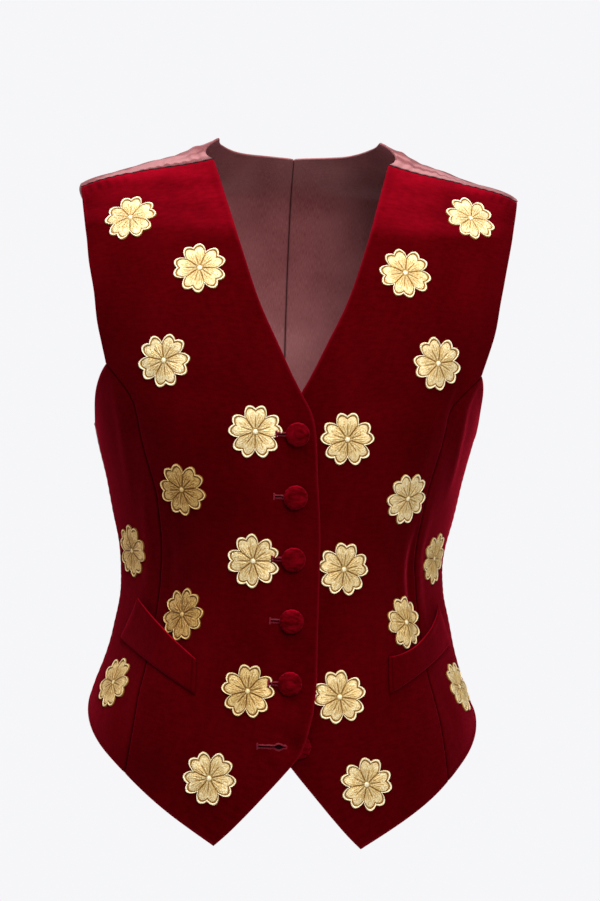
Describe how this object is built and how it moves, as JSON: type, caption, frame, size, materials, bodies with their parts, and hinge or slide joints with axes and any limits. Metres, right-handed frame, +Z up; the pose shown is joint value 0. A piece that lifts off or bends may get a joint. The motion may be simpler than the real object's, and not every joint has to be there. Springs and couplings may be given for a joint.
{
  "type": "embroidered waistcoat",
  "caption": "Women's fitted velvet waistcoat, hollow as worn, with embroidered flowers, a buttoned front, welt pockets and a satin back.",
  "frame": {"origin": "centre of the neck base, midway between the neck ends of the two shoulder seams and level with them", "axes": "+Z up, -Y towards the front, +X towards the wearer's left"},
  "size_m": [0.3849, 0.25, 0.6089],
  "materials": {
    "velvet": "deep claret cotton velvet with a short dense pile",
    "satin": "dusty wine satin with a soft lustre",
    "gold_thread": "pale gold satin-stitch embroidery with a brighter raised edge"
  },
  "bodies": {
    "root": {"front_centre_right": "velvet", "front_side_right": "velvet", "back_right": "satin", "welt_right": "velvet", "front_centre_left": "velvet", "front_side_left": "velvet", "back_left": "satin", "welt_left": "velvet", "button_1": "velvet", "button_2": "velvet", "button_3": "velvet", "button_4": "velvet", "button_5": "velvet", "button_6": "velvet", "flower_right_01": "gold_thread", "flower_right_02": "gold_thread", "flower_right_03": "gold_thread", "flower_right_04": "gold_thread", "flower_right_05": "gold_thread", "flower_right_06": "gold_thread", "flower_right_07": "gold_thread", "flower_right_08": "gold_thread", "flower_right_09": "gold_thread", "flower_right_10": "gold_thread", "flower_right_11": "gold_thread", "flower_left_01": "gold_thread", "flower_left_02": "gold_thread", "flower_left_03": "gold_thread", "flower_left_04": "gold_thread", "flower_left_05": "gold_thread", "flower_left_06": "gold_thread", "flower_left_07": "gold_thread", "flower_left_08": "gold_thread", "flower_left_09": "gold_thread", "flower_left_10": "gold_thread", "flower_left_11": "gold_thread"}
  },
  "joints": []
}
